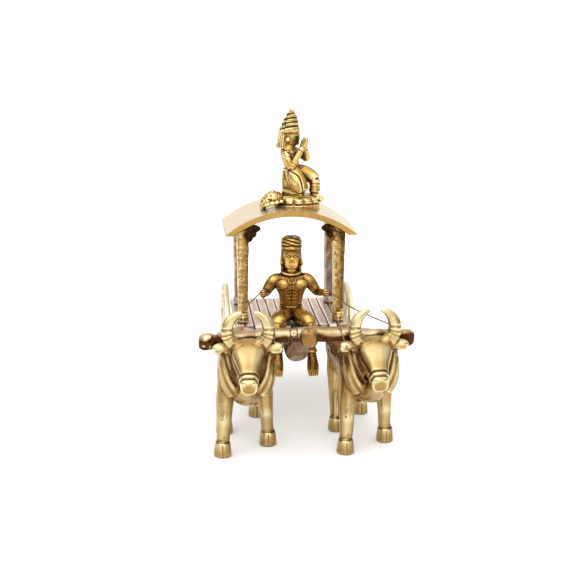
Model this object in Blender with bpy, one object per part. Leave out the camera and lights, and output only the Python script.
"""A brass statue of a bullock cart, cast in separate pieces and riveted together.

Two bulls carry a yoke. A draught pole runs from the yoke to the bed of a two-wheeled cart with a curved
roof on four posts. A driver sits at the front of the bed and holds four wires as reins, and a figure kneels
on the roof. The bulls face -Y, +Z is up, and the origin is on the ground under the middle of the statue.

Sizes are in millimetres. MM turns them into Blender's metres where a mesh is made.
"""

import math

import bmesh
import bpy
from mathutils import Matrix, Vector

MM = 0.001
GAP = 0.3  # between pieces that touch on the real statue
WELD = 0.02  # corners nearer than this become one after a union

# Wheels and axle
WHEEL_RADIUS = 38.2
WHEEL_WIDTH = 4.0
WHEEL_GAUGE = 85.0
RIM_DEPTH = 4.8
SPOKE_COUNT = 12
SPOKE_WIDTH = 3.2
HUB_RADIUS = 6.4
HUB_LENGTH = 9.0
AXLE_RADIUS = 2.4
BORE_CLEARANCE = 0.4
RIVET_RADIUS = 4.4
RIVET_HEIGHT = 1.8
AXLE_BEAM_SIZE = 7.4
RISER_LENGTH = 9.0
RISER_GAUGE = 44.0

# Pole, bed and roof
AXLE_TO_YOKE = 125.8
CART_X = -1.3  # the cart stands a little to the left of the yoke's middle
POLE_DEPTH = 11.1
POLE_WIDTH = 14.0
POLE_ROOT = 24.0  # from the front of the bed to the pole's lowest place
POLE_DIP = 2.6
BED_WIDTH = 75.0
BED_LENGTH = 76.5
BED_AHEAD = 41.8  # from the axle forward to the front of the bed
BED_THICKNESS = 4.0
PLANK_COUNT = 12
GROOVE_WIDTH = 0.9
CAB_HEIGHT = 73.0
ROOF_WIDTH = 88.0
ROOF_LENGTH = 59.7
ROOF_SETBACK = 4.3
ROOF_RISE = 16.2
ROOF_THICKNESS = 4.0
POST_GAUGE = 64.6
POST_TOP_WIDTH = 8.4
POST_FOOT_WIDTH = 6.4
POST_DEPTH = 6.0
POST_INSET = 5.0
DRUM_HEIGHT = 6.5

# Bulls and yoke
BULL_HEIGHT = 70.0  # ground to the underside of the yoke
BULL_GAUGE = 75.2
BULL_YAW = 4.5
YOKE_SPAN = 132.0
YOKE_DEPTH = 10.6
YOKE_HEIGHT = 8.9
POLE_ROOM = 0.5  # around the pole where it passes through the yoke
KNOB_WIDTH = 10.8
KNOB_HEIGHT = 11.8
REIN_DIAMETER = 0.8

# Figures
DRIVER_HEIGHT = 60.0  # seat to the top of the turban
SEAT_SETBACK = 4.5
FIGURE_HEIGHT = 65.4  # roof to the tip of the crown
FIGURE_TURN = 30.0
BASE_LENGTH = 32.6
BASE_SHIFT = 3.0  # the seat reaches further on the side of the figure's forward foot
BASE_WIDTH = 27.0
PETAL_COUNT = 14
FIGURE_SHIFT = 3.2  # the figure stands to the right of the roof's middle

# Worked out from the sizes above
MUZZLE_REACH = BULL_HEIGHT * 0.4686  # from the yoke forward to the front of the muzzles
AXLE_Y = (AXLE_TO_YOKE + MUZZLE_REACH - WHEEL_RADIUS) / 2
YOKE_Y = AXLE_Y - AXLE_TO_YOKE
BED_FRONT_Y = AXLE_Y - BED_AHEAD
DRIVER_Y = BED_FRONT_Y + SEAT_SETBACK
ROOF_FRONT_Y = BED_FRONT_Y + ROOF_SETBACK
POST_FRONT_Y = ROOF_FRONT_Y + POST_INSET
POST_REAR_Y = ROOF_FRONT_Y + ROOF_LENGTH - POST_INSET
FIGURE_Y = ROOF_FRONT_Y + ROOF_LENGTH * 0.45
POLE_BOTTOM = WHEEL_RADIUS + AXLE_BEAM_SIZE / 2 + GAP
BED_BOTTOM = POLE_BOTTOM + POLE_DEPTH + GAP
BED_TOP = BED_BOTTOM + BED_THICKNESS
ROOF_CROWN = BED_TOP + CAB_HEIGHT + ROOF_THICKNESS
ROOF_RADIUS = (ROOF_WIDTH**2 / 4 + ROOF_RISE**2) / (2 * ROOF_RISE)
ROOF_AXIS_Z = ROOF_CROWN - ROOF_RADIUS
YOKE_BOTTOM = BULL_HEIGHT + GAP
UNDER_ROOF = ROOF_RADIUS - ROOF_THICKNESS - GAP


def clear_scene():
    for obj in list(bpy.data.objects):
        bpy.data.objects.remove(obj, do_unlink=True)


def metal(name, colour, roughness):
    material = bpy.data.materials.new(name)
    material.use_nodes = True
    shader = material.node_tree.nodes["Principled BSDF"]
    shader.inputs["Base Color"].default_value = (*colour, 1.0)
    shader.inputs["Roughness"].default_value = roughness
    shader.inputs["Metallic"].default_value = 1.0
    return material


def through(rows, steps):
    """Rows of numbers read from one smooth curve through all of them."""
    rows = [tuple(row) for row in rows]
    padded = [rows[0], *rows, rows[-1]]
    smooth = []
    for a, b, c, d in zip(padded, padded[1:], padded[2:], padded[3:]):
        for step in range(steps):
            t = step / steps
            place = []
            for p, q, r, s in zip(a, b, c, d):
                bend = p - 2.5 * q + 2 * r - s / 2 + t * (1.5 * (q - r) + (s - p) / 2)
                place.append(q + t * ((r - p) / 2 + t * bend))
            smooth.append(tuple(place))
    smooth.append(rows[-1])
    return smooth


def signed_power(value, power):
    return math.copysign(abs(value) ** power, value)


def closed_mesh(bm):
    bmesh.ops.recalc_face_normals(bm, faces=bm.faces)
    return bm


def lofted(rows, sides=8, steps=1, across=(1, 0, 0), square=2.0, level=False):
    """A closed form through rows of (x, y, z, half width, half depth). Width lies along across, square
    is 2 for an oval section and more for a squarer one, and level keeps every section horizontal."""
    rows = through(rows, steps)
    centres = [Vector(row[:3]) for row in rows]
    bm = bmesh.new()
    rings = []
    for index, (centre, row) in enumerate(zip(centres, rows)):
        before = centres[max(index - 1, 0)]
        after = centres[min(index + 1, len(centres) - 1)]
        along = Vector((0, 0, 1)) if level else (after - before).normalized()
        side = (Vector(across) - along * along.dot(Vector(across))).normalized()
        other = along.cross(side)
        ring = []
        for k in range(sides):
            angle = 2 * math.pi * (k + 0.5) / sides
            wide = row[3] * signed_power(math.cos(angle), 2 / square)
            deep = row[4] * signed_power(math.sin(angle), 2 / square)
            ring.append(bm.verts.new(centre + side * wide + other * deep))
        rings.append(ring)
    for lower, upper in zip(rings, rings[1:]):
        for k in range(sides):
            bm.faces.new((lower[k], lower[k - 1], upper[k - 1], upper[k]))
    bm.faces.new(rings[0])
    bm.faces.new(list(reversed(rings[-1])))
    return closed_mesh(bm)


def turned(profile, sides=16, axis=(0, 0, 1), place=(0, 0, 0)):
    """A closed form turned from (radius, height) pairs about axis. A radius of 0 closes an end."""
    bm = bmesh.new()
    rings = []
    for radius, height in profile:
        if radius == 0:
            rings.append([bm.verts.new((0, 0, height))])
            continue
        angles = [2 * math.pi * k / sides for k in range(sides)]
        rings.append([bm.verts.new((radius * math.cos(a), radius * math.sin(a), height)) for a in angles])
    for lower, upper in zip(rings, rings[1:]):
        for k in range(sides):
            low = lower if len(lower) == 1 else [lower[k - 1], lower[k]]
            high = upper if len(upper) == 1 else [upper[k], upper[k - 1]]
            bm.faces.new(low + high)
    for ring in (rings[0], rings[-1]):
        if len(ring) > 1:
            bm.faces.new(ring)
    turn = Vector((0, 0, 1)).rotation_difference(Vector(axis)).to_matrix().to_4x4()
    bmesh.ops.transform(bm, matrix=Matrix.Translation(place) @ turn, verts=bm.verts)
    return closed_mesh(bm)


def ball(place, radii, sides=8, rings=5, turn=(0, 0, 0)):
    """An egg shape with half axes radii, turned by degrees about X, Y and Z."""
    bm = bmesh.new()
    bmesh.ops.create_uvsphere(bm, u_segments=sides, v_segments=rings, radius=1.0)
    spin = Matrix.Rotation(math.radians(turn[2]), 4, "Z") @ Matrix.Rotation(math.radians(turn[1]), 4, "Y")
    spin = spin @ Matrix.Rotation(math.radians(turn[0]), 4, "X")
    stretch = Matrix.Diagonal((*radii, 1.0))
    bmesh.ops.transform(bm, matrix=Matrix.Translation(place) @ spin @ stretch, verts=bm.verts)
    return closed_mesh(bm)


def block(place, size):
    bm = bmesh.new()
    bmesh.ops.create_cube(bm, size=1.0)
    bmesh.ops.transform(bm, matrix=Matrix.Translation(place) @ Matrix.Diagonal((*size, 1.0)), verts=bm.verts)
    return closed_mesh(bm)


def extruded(outline, low, high):
    """An outline of (x, z) pairs pushed along Y from low to high."""
    bm = bmesh.new()
    ends = []
    for level in (low, high):
        ends.append([bm.verts.new((x, level, z)) for x, z in outline])
    for k in range(len(outline)):
        bm.faces.new((ends[0][k - 1], ends[0][k], ends[1][k], ends[1][k - 1]))
    bm.faces.new(ends[0])
    bm.faces.new(list(reversed(ends[1])))
    return closed_mesh(bm)


def band(place, radii, thickness, sides=10, axis=(0, 0, 1)):
    """A band of diamond section round an oval, standing out by thickness."""
    bm = bmesh.new()
    loops = []
    for k in range(sides):
        angle = 2 * math.pi * k / sides
        out = Vector((math.cos(angle), math.sin(angle), 0))
        middle = Vector((radii[0] * out.x, radii[1] * out.y, 0))
        up = Vector((0, 0, thickness))
        corners = (middle + out * thickness, middle + up, middle - out * thickness, middle - up)
        loops.append([bm.verts.new(corner) for corner in corners])
    for k in range(sides):
        for j in range(4):
            bm.faces.new((loops[k - 1][j - 1], loops[k][j - 1], loops[k][j], loops[k - 1][j]))
    turn = Vector((0, 0, 1)).rotation_difference(Vector(axis)).to_matrix().to_4x4()
    bmesh.ops.transform(bm, matrix=Matrix.Translation(place) @ turn, verts=bm.verts)
    return closed_mesh(bm)


def scaled(shells, factor):
    for bm in shells:
        bmesh.ops.scale(bm, vec=(factor, factor, factor), verts=bm.verts)
    return shells


def as_object(name, bm, collection):
    bmesh.ops.scale(bm, vec=(MM, MM, MM), verts=bm.verts)
    mesh = bpy.data.meshes.new(name)
    bm.to_mesh(mesh)
    bm.free()
    obj = bpy.data.objects.new(name, mesh)
    collection.objects.link(obj)
    return obj


def evaluated_mesh(obj):
    bpy.context.view_layer.update()
    graph = bpy.context.evaluated_depsgraph_get()
    return bpy.data.meshes.new_from_object(obj.evaluated_get(graph))


def fused(name, shells, cuts=(), most=None, solver="EXACT"):
    """One mesh: the union of all shells, less the cuts, thinned to most triangles where that is given."""
    scene = bpy.context.scene.collection
    base = as_object(name, shells[0], scene)
    helpers = [base]
    for operation, others in (("UNION", shells[1:]), ("DIFFERENCE", cuts)):
        for other in others:
            helper = as_object(name + "_piece", other, scene)
            boolean = base.modifiers.new(operation.title(), "BOOLEAN")
            boolean.operation = operation
            boolean.object = helper
            boolean.solver = solver
            helpers.append(helper)
    mesh = evaluated_mesh(base)
    for helper in helpers:
        bpy.data.objects.remove(helper, do_unlink=True)
    bm = bmesh.new()
    bm.from_mesh(mesh)
    bmesh.ops.triangulate(bm, faces=bm.faces)
    bmesh.ops.remove_doubles(bm, verts=bm.verts, dist=WELD * MM)
    bmesh.ops.dissolve_degenerate(bm, edges=bm.edges, dist=WELD * MM)
    bm.to_mesh(mesh)
    bm.free()
    if most and len(mesh.polygons) > most:
        mesh = thinned(mesh, most)
    mesh.name = name
    return mesh


def thinned(mesh, most):
    obj = bpy.data.objects.new("thinned", mesh)
    bpy.context.scene.collection.objects.link(obj)
    decimate = obj.modifiers.new("Thin", "DECIMATE")
    decimate.ratio = most / len(mesh.polygons)
    decimate.use_collapse_triangulate = True
    result = evaluated_mesh(obj)
    bpy.data.objects.remove(obj, do_unlink=True)
    return result


def as_shell(mesh):
    """A finished mesh as a shell in millimetres, to join more shells to."""
    bm = bmesh.new()
    bm.from_mesh(mesh)
    bpy.data.meshes.remove(mesh)
    bmesh.ops.scale(bm, vec=(1 / MM, 1 / MM, 1 / MM), verts=bm.verts)
    return bm


def placed(name, mesh, material, place=(0, 0, 0), turn=0.0):
    mesh.materials.clear()
    mesh.materials.append(material)
    mesh.shade_smooth()
    mesh.set_sharp_from_angle(angle=math.radians(35))
    obj = bpy.data.objects.new(name, mesh)
    obj.location = Vector(place) * MM
    obj.rotation_euler.z = math.radians(turn)
    bpy.context.scene.collection.objects.link(obj)
    return obj


def mirrored(rows):
    """The same rows on the other side of the X = 0 plane."""
    return [(-row[0], *row[1:]) for row in rows]


def reflected(rows):
    """The same rows on the other side of the Y = 0 plane."""
    return [(row[0], -row[1], *row[2:]) for row in rows]


def shifted(rows, distance):
    """The same rows moved along X."""
    return [(row[0] + distance, *row[1:]) for row in rows]


def spread(rows, distance):
    """The same rows with the last one moved along X, and the ones before it in proportion."""
    last = len(rows) - 1
    return [(row[0] + distance * k / last, *row[1:]) for k, row in enumerate(rows)]


# The bull. Its stations are drawn for a bull that is 70 mm from the ground to the yoke, with the yoke
# over x = 0, y = 0, and scaled to BULL_HEIGHT.
DRAWN_BULL = 70.0
BULL_BODY = (
    (0, -8.5, 50, 8, 9),
    (0, -4, 50.5, 13.5, 14),
    (0, 4, 51, 16.6, 16.6),
    (0, 14, 50.5, 16.4, 15.6),
    (0, 28, 49.5, 15.6, 14.4),
    (0, 44, 50, 15, 14),
    (0, 58, 50.5, 13.8, 13.4),
    (0, 68, 49.5, 10.5, 11.2),
    (0, 73.5, 48.5, 5.5, 6.5),
)
BULL_NECK = ((0, 5, 55.5, 12, 12), (0, -4, 58.4, 11, 10.4), (0, -12, 62.5, 9, 9))
BULL_DEWLAP = (
    (0, -23, 49.5, 2.2, 3),
    (0, -18.5, 47, 4, 5),
    (0, -13, 43, 6.5, 7),
    (0, -6, 40.5, 9, 7.4),
    (0, 4, 41, 10, 7),
)
# The head is turned a little to one side of the body
BULL_HEAD = (
    (0.9, -5.5, 71.5, 7.6, 5),
    (0.9, -8.5, 69.4, 10.5, 7.2),
    (0.8, -12.6, 66.0, 10.9, 8.2),
    (0.7, -17.2, 62.0, 9.2, 8),
    (0.5, -21.6, 58.3, 7.2, 7),
    (0.4, -25.2, 55.6, 6.2, 6.1),
    (0.3, -29.4, 52.6, 5.6, 5.3),
    (0.3, -30.8, 51.6, 4.6, 4.2),
)
# Each leg runs from inside the body to just inside its hoof, with the forward legs on -X
BULL_LEGS = (
    ((-9.5, 4, 50, 7, 8), (-12, 1.5, 36, 5.6, 6.2), (-13.2, -1.5, 23, 4.7, 5.2),
     (-13.8, -3, 13, 4.1, 4.2), (-14.3, -3.4, 6, 4.3, 4.4)),
    ((9.5, 7, 50, 7, 8), (12.2, 9, 36, 5.4, 6), (13.5, 10.8, 23, 4.3, 4.8),
     (14.2, 12.6, 13, 3.8, 4), (14.8, 13.4, 6, 4.1, 4.3)),
    ((-8, 50, 49, 7.4, 9), (-10.2, 47, 37, 5.6, 7.2), (-11, 43.5, 24, 4.2, 5),
     (-11.3, 38.5, 12, 3.8, 4), (-11.4, 36.8, 6, 4.1, 4.3)),
    ((8, 60, 49, 7, 8), (10.2, 64, 37, 5.6, 6.6), (11, 69.5, 24, 4.2, 4.8),
     (11.3, 68.4, 12, 3.8, 4), (11.4, 67.8, 6, 4.1, 4.3)),
)
HOOF = ((0, 0.4, 0, 5.5, 6), (0, 0.4, 4, 5.2, 5.6), (0, 0, 8.2, 4.7, 4.9), (0, 0.2, 9.6, 4.3, 4.4))
BULL_EAR = (
    (6, -8.5, 69.4, 2.4, 1.9),
    (11, -9, 69.5, 2.8, 2.1),
    (16, -9.6, 69.4, 2.6, 1.9),
    (20.8, -10, 69.2, 1.8, 1.1),
)
HEAD_SHIFT = 0.9
NOSE_BAND = (0.4, -24.2, 56.4)
FACE_SLOPE = (0, -0.82, -0.57)
HORN_CENTRE = (0, -12, 82.6)
# Each row gives an angle in degrees up from level, the distance from HORN_CENTRE and the half thickness
HORN = (
    (-62, 12.2, 3.9),
    (-40, 12.6, 4.1),
    (-18, 12.6, 4.1),
    (5, 12.2, 3.8),
    (28, 11.6, 3.1),
    (50, 10.9, 2.2),
    (72, 10.3, 0.9),
)
BULL_TAIL = (
    (0, 70, 57, 1.8, 1.8),
    (0.5, 74.5, 52, 1.7, 1.7),
    (1.5, 76, 42, 1.6, 1.6),
    (2, 75.5, 34, 2.3, 2.2),
    (2, 75, 27, 0.9, 0.9),
)


def horn_rows():
    rows = []
    for angle, distance, thickness in HORN:
        x = HORN_CENTRE[0] + distance * math.cos(math.radians(angle))
        z = HORN_CENTRE[2] + distance * math.sin(math.radians(angle))
        rows.append((x, HORN_CENTRE[1], z, thickness * 0.9, thickness))
    return rows


def bull_flesh():
    """The bull's rounded forms, without hooves, horns and ears."""
    shells = [
        lofted(BULL_BODY, sides=12),
        lofted(BULL_NECK, sides=10),
        lofted(BULL_DEWLAP, sides=8),
        lofted(BULL_HEAD, sides=12, square=2.4),
        ball((0, 13.5, 63.6), (7.4, 8, 9), sides=8, rings=6),
        lofted(BULL_TAIL, sides=6),
    ]
    shells += [lofted(leg, sides=8) for leg in BULL_LEGS]
    for side in (-1, 1):
        shells.append(ball((side * 8.6, 4.5, 49), (8, 9, 13), sides=8, rings=6))
        shells.append(ball((side * 7.2, 59, 50), (7.4, 11, 12), sides=8, rings=6))
    return scaled(shells, BULL_HEIGHT / DRAWN_BULL)


def bull_trim():
    """Hooves, horns, ears and nose band, which keep their crisp edges."""
    shells = []
    for leg in BULL_LEGS:
        foot = leg[-1]
        hoof = [(foot[0], foot[1] + row[1] - 0.6, *row[2:]) for row in HOOF]
        shells.append(lofted(hoof, sides=10, level=True))
    for rows, across in ((horn_rows(), (0, 1, 0)), (BULL_EAR, (0, 0, 1))):
        for form in (rows, mirrored(rows)):
            shells.append(lofted(shifted(form, HEAD_SHIFT), sides=7, across=across))
    shells.append(band(NOSE_BAND, (6.8, 6.6), 0.9, sides=10, axis=FACE_SLOPE))
    return scaled(shells, BULL_HEIGHT / DRAWN_BULL)


def make_bulls(brass):
    flesh = fused("flesh", bull_flesh(), most=820)
    mesh = fused("bull", [as_shell(flesh)] + bull_trim(), most=1440, solver="MANIFOLD")
    placed("bull_left", mesh, brass, (-BULL_GAUGE / 2, YOKE_Y, 0))
    placed("bull_right", mesh, brass, (BULL_GAUGE / 2, YOKE_Y, 0), BULL_YAW)


def pole_rows():
    """The pole's centre line: level under the bed, then up and forward to the yoke."""
    half = POLE_DEPTH / 2
    under_bed = POLE_BOTTOM + half
    yoke_level = YOKE_BOTTOM + 2.4
    root = BED_FRONT_Y - POLE_ROOT
    reach = root - YOKE_Y
    wide = POLE_WIDTH / 2
    rise = yoke_level - under_bed
    return [
        (CART_X, BED_FRONT_Y + BED_LENGTH - 2, under_bed, wide - 1.5, half - 0.6),
        (CART_X, AXLE_Y, under_bed, wide - 1, half),
        (CART_X, BED_FRONT_Y, under_bed, wide, half),
        (CART_X * 0.6, BED_FRONT_Y - POLE_ROOT * 0.55, under_bed - POLE_DIP * 0.7, wide, half),
        (CART_X * 0.3, root, under_bed - POLE_DIP, wide, half),
        (CART_X * 0.3, root - 0.2 * reach, under_bed + 0.08 * rise, wide - 0.4, half),
        (CART_X * 0.2, root - 0.45 * reach, under_bed + 0.46 * rise, wide - 1.4, half - 0.6),
        (CART_X * 0.1, root - 0.7 * reach, under_bed + 0.8 * rise, wide - 2.4, half - 1.6),
        (0, root - 0.88 * reach, yoke_level - 1.2, 4.3, 3.4),
        (0, YOKE_Y, yoke_level, 4.1, 3.1),
        (0, YOKE_Y - YOKE_DEPTH / 2 - 3, yoke_level + 0.8, 4.1, 3.1),
    ]


def make_pole(bronze):
    front = YOKE_Y - YOKE_DEPTH / 2 - 0.7
    middle = YOKE_BOTTOM - 0.9 + KNOB_HEIGHT / 2
    w = KNOB_WIDTH / 2
    h = KNOB_HEIGHT / 2
    knob = (
        (0, front, middle, w * 0.8, h * 0.85),
        (0, front - 1.6, middle, w, h),
        (0, front - 5.4, middle, w, h),
        (0, front - 7, middle + 0.2, w * 0.72, h * 0.66),
    )
    shells = [lofted(pole_rows(), sides=10), lofted(knob, sides=12, square=3.2)]
    placed("draught_pole", fused("draught_pole", shells), bronze)


def make_yoke(brass):
    half = YOKE_SPAN / 2
    deep = YOKE_DEPTH / 2
    tall = YOKE_HEIGHT / 2
    middle = YOKE_BOTTOM + tall
    side = [
        (0, YOKE_Y, middle, deep, tall),
        (half * 0.12, YOKE_Y, middle - 0.1, deep * 0.98, tall * 0.98),
        (half * 0.3, YOKE_Y, middle - 0.3, deep * 0.92, tall * 0.9),
        (half * 0.56, YOKE_Y, middle - 0.9, deep, tall * 0.8),
        (half * 0.78, YOKE_Y, middle - 1.6, deep * 0.85, tall * 0.78),
        (half * 0.83, YOKE_Y, middle - 2.0, deep * 0.66, tall * 0.6),
        (half * 0.88, YOKE_Y, middle - 2.8, deep * 0.9, tall * 1.08),
        (half * 0.95, YOKE_Y, middle - 3.2, deep * 0.95, tall * 1.12),
        (half, YOKE_Y, middle - 3.2, deep * 0.5, tall * 0.7),
    ]
    rows = list(reversed(mirrored(side[1:]))) + side
    beam = lofted(rows, sides=10, across=(0, 1, 0), square=2.8)
    # The pole passes through an arch cut in the underside of the beam
    arch = lofted([(*row[:3], row[3] + POLE_ROOM, row[4] + POLE_ROOM) for row in pole_rows()[-4:]], sides=10)
    below = block((0, YOKE_Y, YOKE_BOTTOM - 2), (7.4, YOKE_DEPTH + 8, 6))
    placed("yoke", fused("yoke", [beam], [arch, below], most=320), brass)


def make_bed(bronze):
    """The floor, with a groove between each plank and the next cut along its top."""
    pitch = BED_WIDTH / PLANK_COUNT
    outline = [(-BED_WIDTH / 2, BED_BOTTOM), (-BED_WIDTH / 2, BED_TOP)]
    for k in range(1, PLANK_COUNT):
        middle = -BED_WIDTH / 2 + k * pitch
        outline.append((middle - GROOVE_WIDTH / 2, BED_TOP))
        outline.append((middle, BED_TOP - GROOVE_WIDTH))
        outline.append((middle + GROOVE_WIDTH / 2, BED_TOP))
    outline.append((BED_WIDTH / 2, BED_TOP))
    outline.append((BED_WIDTH / 2, BED_BOTTOM))
    floor = extruded(outline, BED_FRONT_Y, BED_FRONT_Y + BED_LENGTH)
    placed("cart_bed", fused("cart_bed", [floor]), bronze, (CART_X, 0, 0))


def make_axle(bronze):
    """A square beam with two risers that carry the bed, and round ends that are riveted over."""
    hub_inner = WHEEL_GAUGE / 2 - HUB_LENGTH / 2
    hub_outer = WHEEL_GAUGE / 2 + HUB_LENGTH / 2
    beam_end = hub_inner - 2 * GAP
    rivet = hub_outer + GAP
    tip = rivet + RIVET_HEIGHT
    size = AXLE_BEAM_SIZE
    riser_top = BED_BOTTOM - GAP
    riser_bottom = WHEEL_RADIUS
    riser_size = (RISER_LENGTH, size, riser_top - riser_bottom)
    rod = [
        (0, -tip), (RIVET_RADIUS * 0.6, -tip), (RIVET_RADIUS, -rivet), (AXLE_RADIUS, -rivet),
        (AXLE_RADIUS, rivet), (RIVET_RADIUS, rivet), (RIVET_RADIUS * 0.6, tip), (0, tip),
    ]
    shells = [block((0, 0, WHEEL_RADIUS), (2 * beam_end, size, size))]
    shells.append(turned(rod, sides=16, axis=(1, 0, 0), place=(0, 0, WHEEL_RADIUS)))
    for side in (-1, 1):
        shells.append(block((side * RISER_GAUGE / 2, 0, (riser_top + riser_bottom) / 2), riser_size))
    placed("axle", fused("axle", shells, most=230), bronze, (CART_X, AXLE_Y, 0))


def make_wheels(bronze):
    """Both wheels share one mesh, turned about the origin and placed on the axle."""
    half = WHEEL_WIDTH / 2
    inner = WHEEL_RADIUS - RIM_DEPTH
    sides = 32
    bm = bmesh.new()
    loops = []
    for k in range(sides):
        angle = 2 * math.pi * k / sides
        corners = ((-half, WHEEL_RADIUS), (half, WHEEL_RADIUS), (half, inner), (-half, inner))
        loops.append([bm.verts.new((x, r * math.sin(angle), r * math.cos(angle))) for x, r in corners])
    for k in range(sides):
        for j in range(4):
            bm.faces.new((loops[k - 1][j - 1], loops[k][j - 1], loops[k][j], loops[k - 1][j]))
    hub_half = HUB_LENGTH / 2
    hub = [
        (0, -hub_half), (HUB_RADIUS * 0.75, -hub_half), (HUB_RADIUS, -half),
        (HUB_RADIUS, half), (HUB_RADIUS * 0.75, hub_half), (0, hub_half),
    ]
    shells = [closed_mesh(bm), turned(hub, sides=16, axis=(1, 0, 0))]
    for k in range(SPOKE_COUNT):
        angle = 2 * math.pi * (k + 0.5) / SPOKE_COUNT
        out = Vector((0, math.sin(angle), math.cos(angle)))
        root = out * (HUB_RADIUS - 2)
        end = out * (inner + RIM_DEPTH * 0.4)
        rows = ((*root, SPOKE_WIDTH * 0.4, SPOKE_WIDTH * 0.55), (*end, SPOKE_WIDTH * 0.4, SPOKE_WIDTH * 0.45))
        shells.append(lofted(rows, sides=4, across=(1, 0, 0)))
    bore = [(AXLE_RADIUS + BORE_CLEARANCE, -HUB_LENGTH), (AXLE_RADIUS + BORE_CLEARANCE, HUB_LENGTH)]
    mesh = fused("wheel", shells, [turned(bore, sides=16, axis=(1, 0, 0))], most=620)
    for name, side in (("wheel_left", -1), ("wheel_right", 1)):
        placed(name, mesh, bronze, (CART_X + side * WHEEL_GAUGE / 2, AXLE_Y, WHEEL_RADIUS))


def under_roof(x):
    """The height just below the roof at x, measured from the middle of the cart."""
    return ROOF_AXIS_Z + math.sqrt(UNDER_ROOF**2 - x**2)


def post_shells(side, plain):
    """One post: a tapered square shaft on a drum, with a scroll bracket at the top on its inner side."""
    centre = side * POST_GAUGE / 2
    foot = BED_TOP + GAP
    top_half = POST_TOP_WIDTH / 2
    foot_half = POST_FOOT_WIDTH / 2
    deep = POST_DEPTH / 2
    around = ((-1, -1), (1, -1), (1, 1), (-1, 1))
    levels = ((foot + 0.5, foot_half), (foot + DRUM_HEIGHT + 1, foot_half))
    bm = bmesh.new()
    rings = []
    for z, half in levels:
        rings.append([bm.verts.new((centre + u * half, v * deep, z)) for u, v in around])
    corners = []
    for u, v in around:
        x = centre + u * top_half
        corners.append(bm.verts.new((x, v * deep, under_roof(x))))
    rings.append(corners)
    for lower, upper in zip(rings, rings[1:]):
        for k in range(4):
            bm.faces.new((lower[k - 1], lower[k], upper[k], upper[k - 1]))
    bm.faces.new(rings[0])
    bm.faces.new(rings[-1])
    bmesh.ops.bevel(
        bm,
        geom=[edge for edge in bm.edges if abs(edge.verts[0].co.z - edge.verts[1].co.z) > DRUM_HEIGHT],
        offset=1.0,
        segments=1,
        affect="EDGES",
    )
    drum = [
        (foot_half, foot), (foot_half * 1.22, foot + 0.8), (foot_half * 1.22, foot + DRUM_HEIGHT - 2.4),
        (foot_half, foot + DRUM_HEIGHT - 1.6), (foot_half * 1.15, foot + DRUM_HEIGHT - 0.8),
        (foot_half * 0.9, foot + DRUM_HEIGHT),
    ]
    if plain:
        return [closed_mesh(bm), turned(drum[:3] + drum[-1:], sides=8, place=(centre, 0, 0))]
    shells = [closed_mesh(bm), turned(drum, sides=10, place=(centre, 0, 0))]
    inward = -side
    reach = centre + inward * (top_half + 1.5)
    low = under_roof(reach + inward * 2.5)
    lobes = ((1.2, 3.0, (3, 2.6, 2.4)), (0, 6.4, (3.4, 2.4, 2.6)), (-0.8, 9.6, (2.2, 1.8, 2.4)))
    for x, drop, radii in lobes:
        shells.append(ball((reach + inward * x, 0, low - drop), radii, sides=6, rings=4))
    return shells


def make_posts(brass, bronze):
    for side, across in ((-1, "left"), (1, "right")):
        for y, along, plain in ((POST_FRONT_Y, "front", False), (POST_REAR_Y, "rear", True)):
            name = f"post_{along}_{across}"
            mesh = fused(name, post_shells(side, plain), most=300)
            placed(name, mesh, bronze if plain else brass, (CART_X, y, 0))


def make_roof(brass):
    """A plate bent to an arc, cut level along both lower edges."""
    steps = 18
    widest = math.asin(ROOF_WIDTH / 2 / ROOF_RADIUS)
    inner_radius = ROOF_RADIUS - ROOF_THICKNESS
    eave = ROOF_AXIS_Z + ROOF_RADIUS * math.cos(widest) - 0.6
    inner_widest = math.acos((eave - ROOF_AXIS_Z) / inner_radius)
    outline = []
    for radius, widest_here, order in ((ROOF_RADIUS, widest, 1), (inner_radius, inner_widest, -1)):
        for k in range(steps + 1):
            angle = order * widest_here * (2 * k / steps - 1)
            outline.append((radius * math.sin(angle), ROOF_AXIS_Z + radius * math.cos(angle)))
    plate = extruded(outline, ROOF_FRONT_Y, ROOF_FRONT_Y + ROOF_LENGTH)
    placed("roof", fused("roof", [plate]), brass, (CART_X, 0, 0))


# The driver. The stations are drawn for a seated height of 60 mm from the seat to the top of the turban,
# with the seat at the origin, facing -Y.
DRAWN_DRIVER = 60.0
DRIVER_TORSO = (
    (0, 2.5, 2.8, 9.4, 5.6),
    (0, 2.2, 8, 8.2, 5),
    (0, 1.8, 14, 7.6, 4.6),
    (0, 1.2, 20, 8.4, 5),
    (0, 0.8, 26, 10.6, 5.6),
    (0, 1.2, 30.4, 10.8, 5),
    (0, 1.8, 33.6, 7.8, 4),
    (0, 2, 36.4, 4.2, 3.2),
)
DRIVER_NECK = ((0, 1.8, 34, 3.6, 3.4), (0, 0.8, 41, 3.3, 3.4))
DRIVER_HEAD = (
    (0, -1.6, 39, 2.2, 2.4),
    (0, -0.8, 41, 4.4, 4.4),
    (0, -0.3, 44, 5.5, 5.5),
    (0, 0, 48.4, 6, 5.9),
    (0, 0.3, 54, 5.6, 5.6),
)
DRIVER_THIGH = (
    (3.6, 4, 4.6, 5.4, 4.6),
    (6.4, -3.6, 4.8, 5.4, 4.6),
    (9, -11, 4.8, 4.8, 4.3),
    (10.8, -16, 3.8, 4, 3.8),
)
DRIVER_SHIN = (
    (10.8, -15.6, 4.8, 3.9, 3.9),
    (10.9, -18, -3, 3.6, 3.8),
    (10.8, -19, -10, 3, 3.1),
    (10.6, -19.5, -16, 2.8, 2.9),
)
DRIVER_FOOT = (
    (10.6, -19, -14.5, 2.9, 3),
    (10.6, -20.6, -19, 3.4, 3.4),
    (10.9, -23.4, -25, 3.9, 2.8),
    (11.2, -25.4, -29.8, 3.2, 1.7),
)
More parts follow.
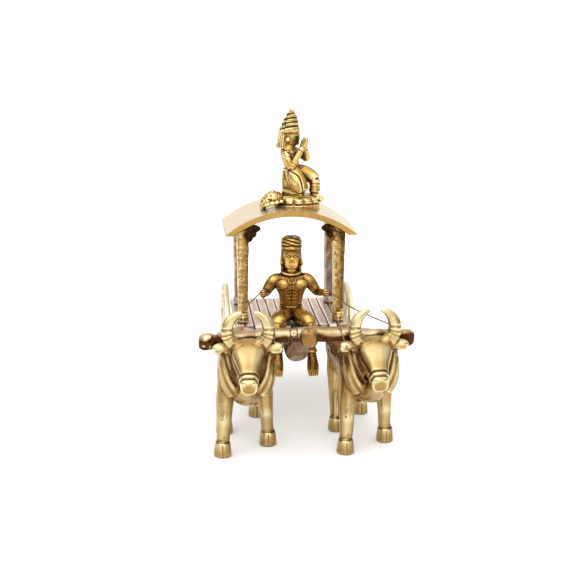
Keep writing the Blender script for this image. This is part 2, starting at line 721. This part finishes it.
DRIVER_ARM = (
    (7.6, 1.6, 29.4, 3.6, 3.8),
    (11.2, 1.6, 28.6, 4.6, 4.4),
    (14.6, 1.2, 24.6, 3.8, 3.7),
    (17.2, -1.4, 21.4, 2.9, 2.9),
)
DRIVER_FOREARM = ((17, -0.6, 21.6, 2.9, 2.9), (18.4, -6, 22.4, 2.7, 2.6), (19.4, -11, 23.4, 2.1, 2.1))
DRIVER_HAND = (19.8, -12.6, 23.6)
# The driver's left hand and foot, on +X, are held further out than the others
REACH = 1.6
TURBAN = ((6.2, 51), (7.2, 52.2), (6.7, 53.9), (7.3, 55.2), (6.8, 57), (6.6, 58.4), (4.4, 59.8), (0, 60))


def driver_flesh():
    shells = [lofted(DRIVER_TORSO, sides=10), lofted(DRIVER_NECK, sides=8), lofted(DRIVER_HEAD, sides=10)]
    for turn, reach in ((list, REACH), (mirrored, 0)):
        for rows in (DRIVER_THIGH, DRIVER_ARM):
            shells.append(lofted(turn(rows), sides=8))
        for rows in (DRIVER_SHIN, DRIVER_FOREARM):
            shells.append(lofted(spread(turn(rows), reach), sides=8))
        shells.append(lofted(shifted(turn(DRIVER_FOOT), reach), sides=8))
        hand = shifted(turn([DRIVER_HAND]), reach)[0]
        shells.append(ball(hand, (2.4, 2.9, 2.9), sides=8, rings=5))
    return scaled(shells, DRIVER_HEIGHT / DRAWN_DRIVER)


def driver_trim():
    """Turban, hair, collar, pendant, earrings and anklets."""
    shells = [
        turned(TURBAN, sides=12),
        band((0, 0.8, 35.6), (6.2, 4.8), 1.1, sides=12, axis=(0, -0.35, 0.94)),
        band((0, -4.4, 30.4), (2.2, 2.2), 0.8, sides=8, axis=(0, -1, 0.1)),
    ]
    for turn, reach in ((list, REACH), (mirrored, 0)):
        ankle = shifted(turn([(10.6, -19.4, -14)]), reach)[0]
        shells.append(band(ankle, (3, 3), 0.9, sides=8))
        lock = turn([(5.4, 1.6, 51, 1.6, 2.2), (6.2, 1.4, 44, 1.7, 2.2), (6.2, 1.4, 36.4, 1.4, 1.8)])
        shells.append(lofted(lock, sides=5))
        earring = turn([(6.6, -0.6, 41.4)])[0]
        shells.append(ball(earring, (1.4, 1.6, 1.8), sides=6, rings=4))
    return scaled(shells, DRIVER_HEIGHT / DRAWN_DRIVER)


def make_driver(brass):
    flesh = fused("flesh", driver_flesh(), most=850)
    mesh = fused("driver", [as_shell(flesh)] + driver_trim(), most=1450)
    placed("driver", mesh, brass, (CART_X, DRIVER_Y, BED_TOP + GAP))


# The kneeling figure. Its stations are drawn for 65.4 mm from the roof to the tip of the crown, with the
# base at the origin, facing +X, so that its right side is on -Y.
DRAWN_FIGURE = 65.4
BASE_TOP = 6.6
FIGURE_TORSO = (
    (-0.8, 0, 21, 5.8, 5.4),
    (-0.8, 0, 26.6, 5.6, 5),
    (-1.2, 0, 31, 6.6, 5.4),
    (-1.6, 0, 35.6, 6.8, 5),
    (-2, 0, 38.6, 4.4, 3.8),
    (-1.6, 0, 42, 2.8, 2.8),
)
FIGURE_HEAD = (
    (-1.6, 0, 40.4, 3, 3),
    (-0.8, 0, 42.6, 4.2, 4.6),
    (-0.6, 0, 46.4, 4.9, 5.2),
    (-1.2, 0, 50.4, 5.0, 5.3),
)
CROWN = (
    (-2.8, 0, 48.6, 6.2, 6.2),
    (-2.8, 0, 50, 7.2, 7.2),
    (-2.5, 0, 52.6, 6.7, 6.7),
    (-2.4, 0, 53, 6.1, 6.1),
    (-2.1, 0, 56, 6, 6),
    (-2, 0, 56.4, 5.2, 5.2),
    (-1.7, 0, 59.4, 4.8, 4.8),
    (-1.6, 0, 59.8, 3.7, 3.7),
    (-1.3, 0, 61.8, 2.8, 2.8),
    (-1.1, 0, 62.3, 1.5, 1.5),
    (-0.8, 0, 64.6, 1.9, 1.9),
    (-0.7, 0, 65.4, 0.8, 0.8),
)
FIGURE_FLAP = (
    (-5, 0, 51, 5.6, 3.2),
    (-5.8, 0, 46, 5.4, 3.6),
    (-6.2, 0, 42, 5.6, 3.6),
    (-6.6, 0, 37.6, 6.2, 4.2),
)
NEAR_THIGH = (
    (0.5, -3.6, 24.6, 4.4, 4.6),
    (3, -4.6, 20.5, 5, 5.8),
    (7, -5.4, 14.4, 5.2, 6),
    (10.4, -5.6, 9.6, 4.2, 4.6),
)
NEAR_SHIN = ((10, -5.6, 8.6, 3, 3), (4, -5.4, 8.6, 3, 2.8), (-2, -5, 8.6, 2.7, 2.5), (-5, -4.6, 8.8, 2.4, 2))
FAR_THIGH = (
    (1, 3.8, 22.6, 4.4, 4.6),
    (6.5, 5, 20.8, 4.8, 5.4),
    (11.6, 6, 18.4, 4.4, 4.8),
    (14, 6, 16.4, 3.8, 4),
)
FAR_SHIN = ((13.4, 6, 17, 4, 4), (13.6, 6, 12.4, 3.8, 3.9), (13.4, 6, 8.6, 3.2, 3.3), (13.4, 6, 5, 2.9, 3))
FAR_FOOT = ((12, 6, 6, 2.6, 2.4), (14.8, 6, 5, 3, 2.6), (17.6, 6, 3.9, 3, 2.2), (19.8, 6, 2.8, 2.2, 1.4))
NEAR_ARM = ((-2.6, -5.6, 36, 2.8, 2.8), (-0.4, -7, 30.6, 2.6, 2.6), (2.2, -7.4, 25.4, 2.3, 2.3))
NEAR_FOREARM = ((2, -7.4, 25.2, 2.4, 2.4), (4.8, -4.6, 32, 2.1, 2.1), (7.6, -1.2, 38.8, 1.8, 1.8))
FAR_ARM = ((-2, 5.6, 36.2, 2.8, 2.8), (3, 7.4, 33, 2.6, 2.6), (7.4, 7.4, 30, 2.4, 2.4))
FAR_FOREARM = ((7.2, 7.4, 30, 2.4, 2.4), (7.6, 4.8, 34.6, 2.1, 2.1), (8, 1.4, 39, 1.8, 1.8))
FIGURE_PALMS = ((7, 0, 37.4, 2.2, 2.3), (8.2, 0, 41, 2.4, 2.7), (9.2, 0, 44.4, 1.8, 2), (9.8, 0, 46.2, 1, 1))
SASH_TAIL = ((-5.2, -1, 24, 2.4, 1.5), (-5.8, -1.4, 17, 2.8, 1.4), (-5.4, -1.6, 9, 3, 1.3))
# The curled ornament and its beads are drawn in the cart's directions
CURL = (
    (-9.5, -5, 3.6, 3, 3),
    (-14, -7.2, 6.2, 3.4, 3.2),
    (-18.4, -8, 4.4, 3, 2.9),
    (-21, -7.6, 0.6, 2.3, 2.3),
    (-21.6, -7.4, -4, 1.7, 1.7),
)
CURL_BEADS = ((-10.6, -6, 8.2), (-14.6, -7.6, 10))


def base_shells():
    """An oval seat with petals round its foot, and a curled ornament at one end."""
    long, wide = BASE_LENGTH / 2, BASE_WIDTH / 2
    sides = 2 * PETAL_COUNT
    # Each level gives its share of the outline, its height and how far the petals stand out
    levels = (
        (0.96, -6.0, 0.0), (0.96, 0.8, 0.0), (0.88, 1.3, 0.0), (0.9, 2.6, 0.1),
        (0.82, 4.4, 0.03), (0.88, 5.2, 0.0), (0.8, BASE_TOP, 0.0),
    )
    bm = bmesh.new()
    rings = []
    for share, z, petal in levels:
        corners = []
        for k in range(sides):
            angle = 2 * math.pi * k / sides
            reach = share + (petal if k % 2 else 0)
            x = BASE_SHIFT + reach * long * math.cos(angle)
            corners.append(bm.verts.new((x, reach * wide * math.sin(angle), z)))
        rings.append(corners)
    for lower, upper in zip(rings, rings[1:]):
        for k in range(sides):
            bm.faces.new((lower[k - 1], lower[k], upper[k], upper[k - 1]))
    bm.faces.new(rings[0])
    bm.faces.new(rings[-1])
    shells = [closed_mesh(bm), lofted(CURL, sides=7, across=(0, 1, 0))]
    for place in CURL_BEADS:
        shells.append(ball(place, (1.7, 1.6, 1.6), sides=6, rings=4))
    return shells


def turned_figure(shells):
    """Shells drawn facing +X, turned towards the front of the cart by FIGURE_TURN."""
    spin = Matrix.Rotation(math.radians(-FIGURE_TURN), 3, "Z")
    for bm in shells:
        bmesh.ops.rotate(bm, cent=(0, 0, 0), matrix=spin, verts=bm.verts)
    return shells


def figure_flesh():
    forms = (
        FIGURE_TORSO, FIGURE_HEAD, FIGURE_FLAP, NEAR_THIGH, NEAR_SHIN, FAR_THIGH, FAR_SHIN, FAR_FOOT,
        NEAR_ARM, NEAR_FOREARM, FAR_ARM, FAR_FOREARM, FIGURE_PALMS, SASH_TAIL,
    )
    shells = [lofted(rows, sides=8, across=(0, 1, 0)) for rows in forms]
    shells.append(ball((-1.6, 0, 15.5), (5, 5.8, 8), sides=8, rings=6))
    return turned_figure(shells)


def figure_trim():
    """Crown, sash, anklet and earrings."""
    shells = [
        lofted(CROWN, sides=10, level=True),
        band((-0.8, 0, 23.6), (5.5, 5.9), 0.9, sides=10),
        band((13.5, 6, 9.6), (3.6, 3.6), 0.8, sides=8),
    ]
    for turn in (list, reflected):
        ear = turn([(-1.6, 4.6, 44.2)])[0]
        shells.append(ball(ear, (1.6, 1.4, 1.8), sides=6, rings=4))
    return turned_figure(shells)


def make_figure(brass):
    """The figure and its base are one casting, whose underside follows the roof."""
    share = FIGURE_HEIGHT / DRAWN_FIGURE
    shells = scaled(figure_flesh() + base_shells() + figure_trim(), share)
    saddle = turned(
        [(ROOF_RADIUS + GAP, -ROOF_LENGTH), (ROOF_RADIUS + GAP, ROOF_LENGTH)],
        sides=72,
        axis=(0, 1, 0),
        place=(-FIGURE_SHIFT, 0, -ROOF_RADIUS),
    )
    mesh = fused("roof_figure", shells, [saddle], most=1560, solver="MANIFOLD")
    placed("roof_figure", mesh, brass, (CART_X + FIGURE_SHIFT, FIGURE_Y, ROOF_CROWN))


def make_rein(name, route, brass):
    """A round wire through the points of its route."""
    curve = bpy.data.curves.new(name, "CURVE")
    curve.dimensions = "3D"
    curve.bevel_depth = REIN_DIAMETER / 2 * MM
    curve.bevel_resolution = 2
    curve.use_fill_caps = True
    spline = curve.splines.new("POLY")
    points = through(route, 3)
    spline.points.add(len(points) - 1)
    for point, place in zip(spline.points, points):
        point.co = (*(Vector(place) * MM), 1.0)
    curve.materials.append(brass)
    obj = bpy.data.objects.new(name, curve)
    bpy.context.scene.collection.objects.link(obj)


def hand_place(side):
    """The middle of one of the driver's hands in the statue's frame."""
    share = DRIVER_HEIGHT / DRAWN_DRIVER
    x, y, z = (share * value for value in DRIVER_HAND)
    reach = share * REACH if side > 0 else 0
    return Vector((CART_X + side * x + reach, DRIVER_Y + y, BED_TOP + GAP + z))


def bull_place(side, x, y, z):
    """A point of a bull's pattern in the statue's frame."""
    share = BULL_HEIGHT / DRAWN_BULL
    turn = Matrix.Rotation(math.radians(BULL_YAW if side > 0 else 0), 3, "Z")
    return Vector((side * BULL_GAUGE / 2, YOKE_Y, 0)) + turn @ (Vector((x, y, z)) * share)


def make_reins(brass):
    """Four wires from the driver's hands over the yoke: the outer ones behind the far horns, the inner
    ones in front of the yoke to the near horn of one bull and down the cheek of the other."""
    yoke_top = YOKE_BOTTOM + YOKE_HEIGHT
    left, right = hand_place(-1), hand_place(1)
    front = YOKE_Y - YOKE_DEPTH / 2
    routes = {
        "rein_left_outer": [
            left + Vector((-2.2, -2.8, 1.4)),
            left + Vector((-16, -40, -0.4)),
            bull_place(-1, -12.4, -7.0, 82.0),
        ],
        "rein_left_inner": [
            left + Vector((-0.4, -3.4, -1.2)),
            Vector((-20.4, YOKE_Y + 30, yoke_top + 1.6)),
            Vector((-20.4, front + 1.4, yoke_top + 0.9)),
            Vector((-20.6, front - 1.3, yoke_top - 1.8)),
            bull_place(-1, 16.4, -12.8, 73.0),
        ],
        "rein_right_inner": [
            right + Vector((0.2, -3.4, -1.2)),
            Vector((19.6, YOKE_Y + 30, yoke_top + 1.6)),
            Vector((19.6, front + 1.4, yoke_top + 0.9)),
            Vector((20.2, front - 1.4, yoke_top - 2.4)),
            bull_place(1, -16.4, -14.4, 70.0),
            bull_place(1, -13.8, -18.4, 64.2),
            bull_place(1, -9.2, -26.8, 55.4),
        ],
        "rein_right_outer": [
            right + Vector((2.6, -2.6, 1.4)),
            right + Vector((12, -38, -0.2)),
            bull_place(1, 10.6, -6.8, 82.0),
        ],
    }
    for name, route in routes.items():
        make_rein(name, route, brass)


clear_scene()
BRASS = metal("antique_brass", (0.72, 0.52, 0.24), 0.3)
RAW = metal("unpolished_brass", (0.42, 0.36, 0.36), 0.55)
make_bulls(BRASS)
make_yoke(BRASS)
make_pole(RAW)
make_bed(RAW)
make_axle(RAW)
make_wheels(RAW)
make_posts(BRASS, RAW)
make_roof(BRASS)
make_driver(BRASS)
make_figure(BRASS)
make_reins(BRASS)
